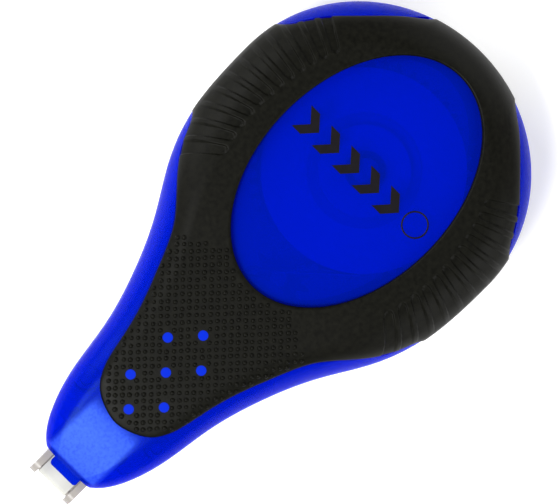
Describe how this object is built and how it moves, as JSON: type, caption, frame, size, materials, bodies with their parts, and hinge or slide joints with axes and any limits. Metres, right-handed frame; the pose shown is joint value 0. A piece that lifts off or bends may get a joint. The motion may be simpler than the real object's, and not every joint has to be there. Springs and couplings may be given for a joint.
{
  "type": "correction tape roller",
  "caption": "Hand-held correction tape roller: two-part translucent shell with rubber grips, geared tape reels and a clear blade tip that the tape runs over.",
  "frame": {"origin": "under the middle of the bounding box, on the surface that the rear grip lies on", "axes": "+X along the length towards the round end, with the tip at -X; +Z out of the front face; +Y across"},
  "size_m": [0.0866, 0.0482, 0.016],
  "materials": {
    "shell_plastic": "translucent blue, glossy",
    "grip_rubber": "black, matt, ribbed and nubbed",
    "clear_plastic": "clear, slightly frosted",
    "gear_plastic": "natural acetal, satin",
    "clutch_rubber": "matt",
    "spool_plastic": "moulded, satin",
    "white_tape": "chalky white coating",
    "used_tape": "bare carrier film"
  },
  "bodies": {
    "housing": {"front_shell": "shell_plastic", "rear_shell": "shell_plastic", "front_grip": "grip_rubber", "rear_grip": "grip_rubber", "tip_head": "clear_plastic", "tape_run": "white_tape"},
    "supply_drive": {"supply_gear": "gear_plastic", "clutch_ring": "clutch_rubber", "clutch_cap": "gear_plastic"},
    "supply_reel": {"supply_spool": "spool_plastic", "supply_tape_roll": "white_tape"},
    "idler": {"idler_gear": "gear_plastic"},
    "take_up_reel": {"take_up_spool": "spool_plastic", "take_up_flange": "spool_plastic", "take_up_tape_roll": "used_tape"},
    "guide": {"guide_roller": "spool_plastic"}
  },
  "joints": [
    {"name": "supply_gear_spin", "type": "hinge", "parent": "housing", "child": "supply_drive", "pos_m": [0.01958, 0, 0.008], "axis": [0, 0, 1], "continuous": true},
    {"name": "clutch_slip", "type": "hinge", "parent": "supply_drive", "child": "supply_reel", "pos_m": [0.01958, 0, 0.008], "axis": [0, 0, 1], "continuous": true},
    {"name": "idler_spin", "type": "hinge", "parent": "housing", "child": "idler", "pos_m": [0.00035, -0.00269, 0.008], "axis": [0, 0, 1], "continuous": true},
    {"name": "take_up_spin", "type": "hinge", "parent": "housing", "child": "take_up_reel", "pos_m": [-0.00827, -0.0039, 0.008], "axis": [0, 0, 1], "continuous": true},
    {"name": "guide_roller_spin", "type": "hinge", "parent": "housing", "child": "guide", "pos_m": [-0.00902, 0.00677, 0.008], "axis": [0, 0, 1], "continuous": true}
  ],
  "couplings": [
    {"joint": "idler_spin", "follows": "supply_gear_spin", "ratio": -3.8333},
    {"joint": "take_up_spin", "follows": "supply_gear_spin", "ratio": 3.2857}
  ]
}
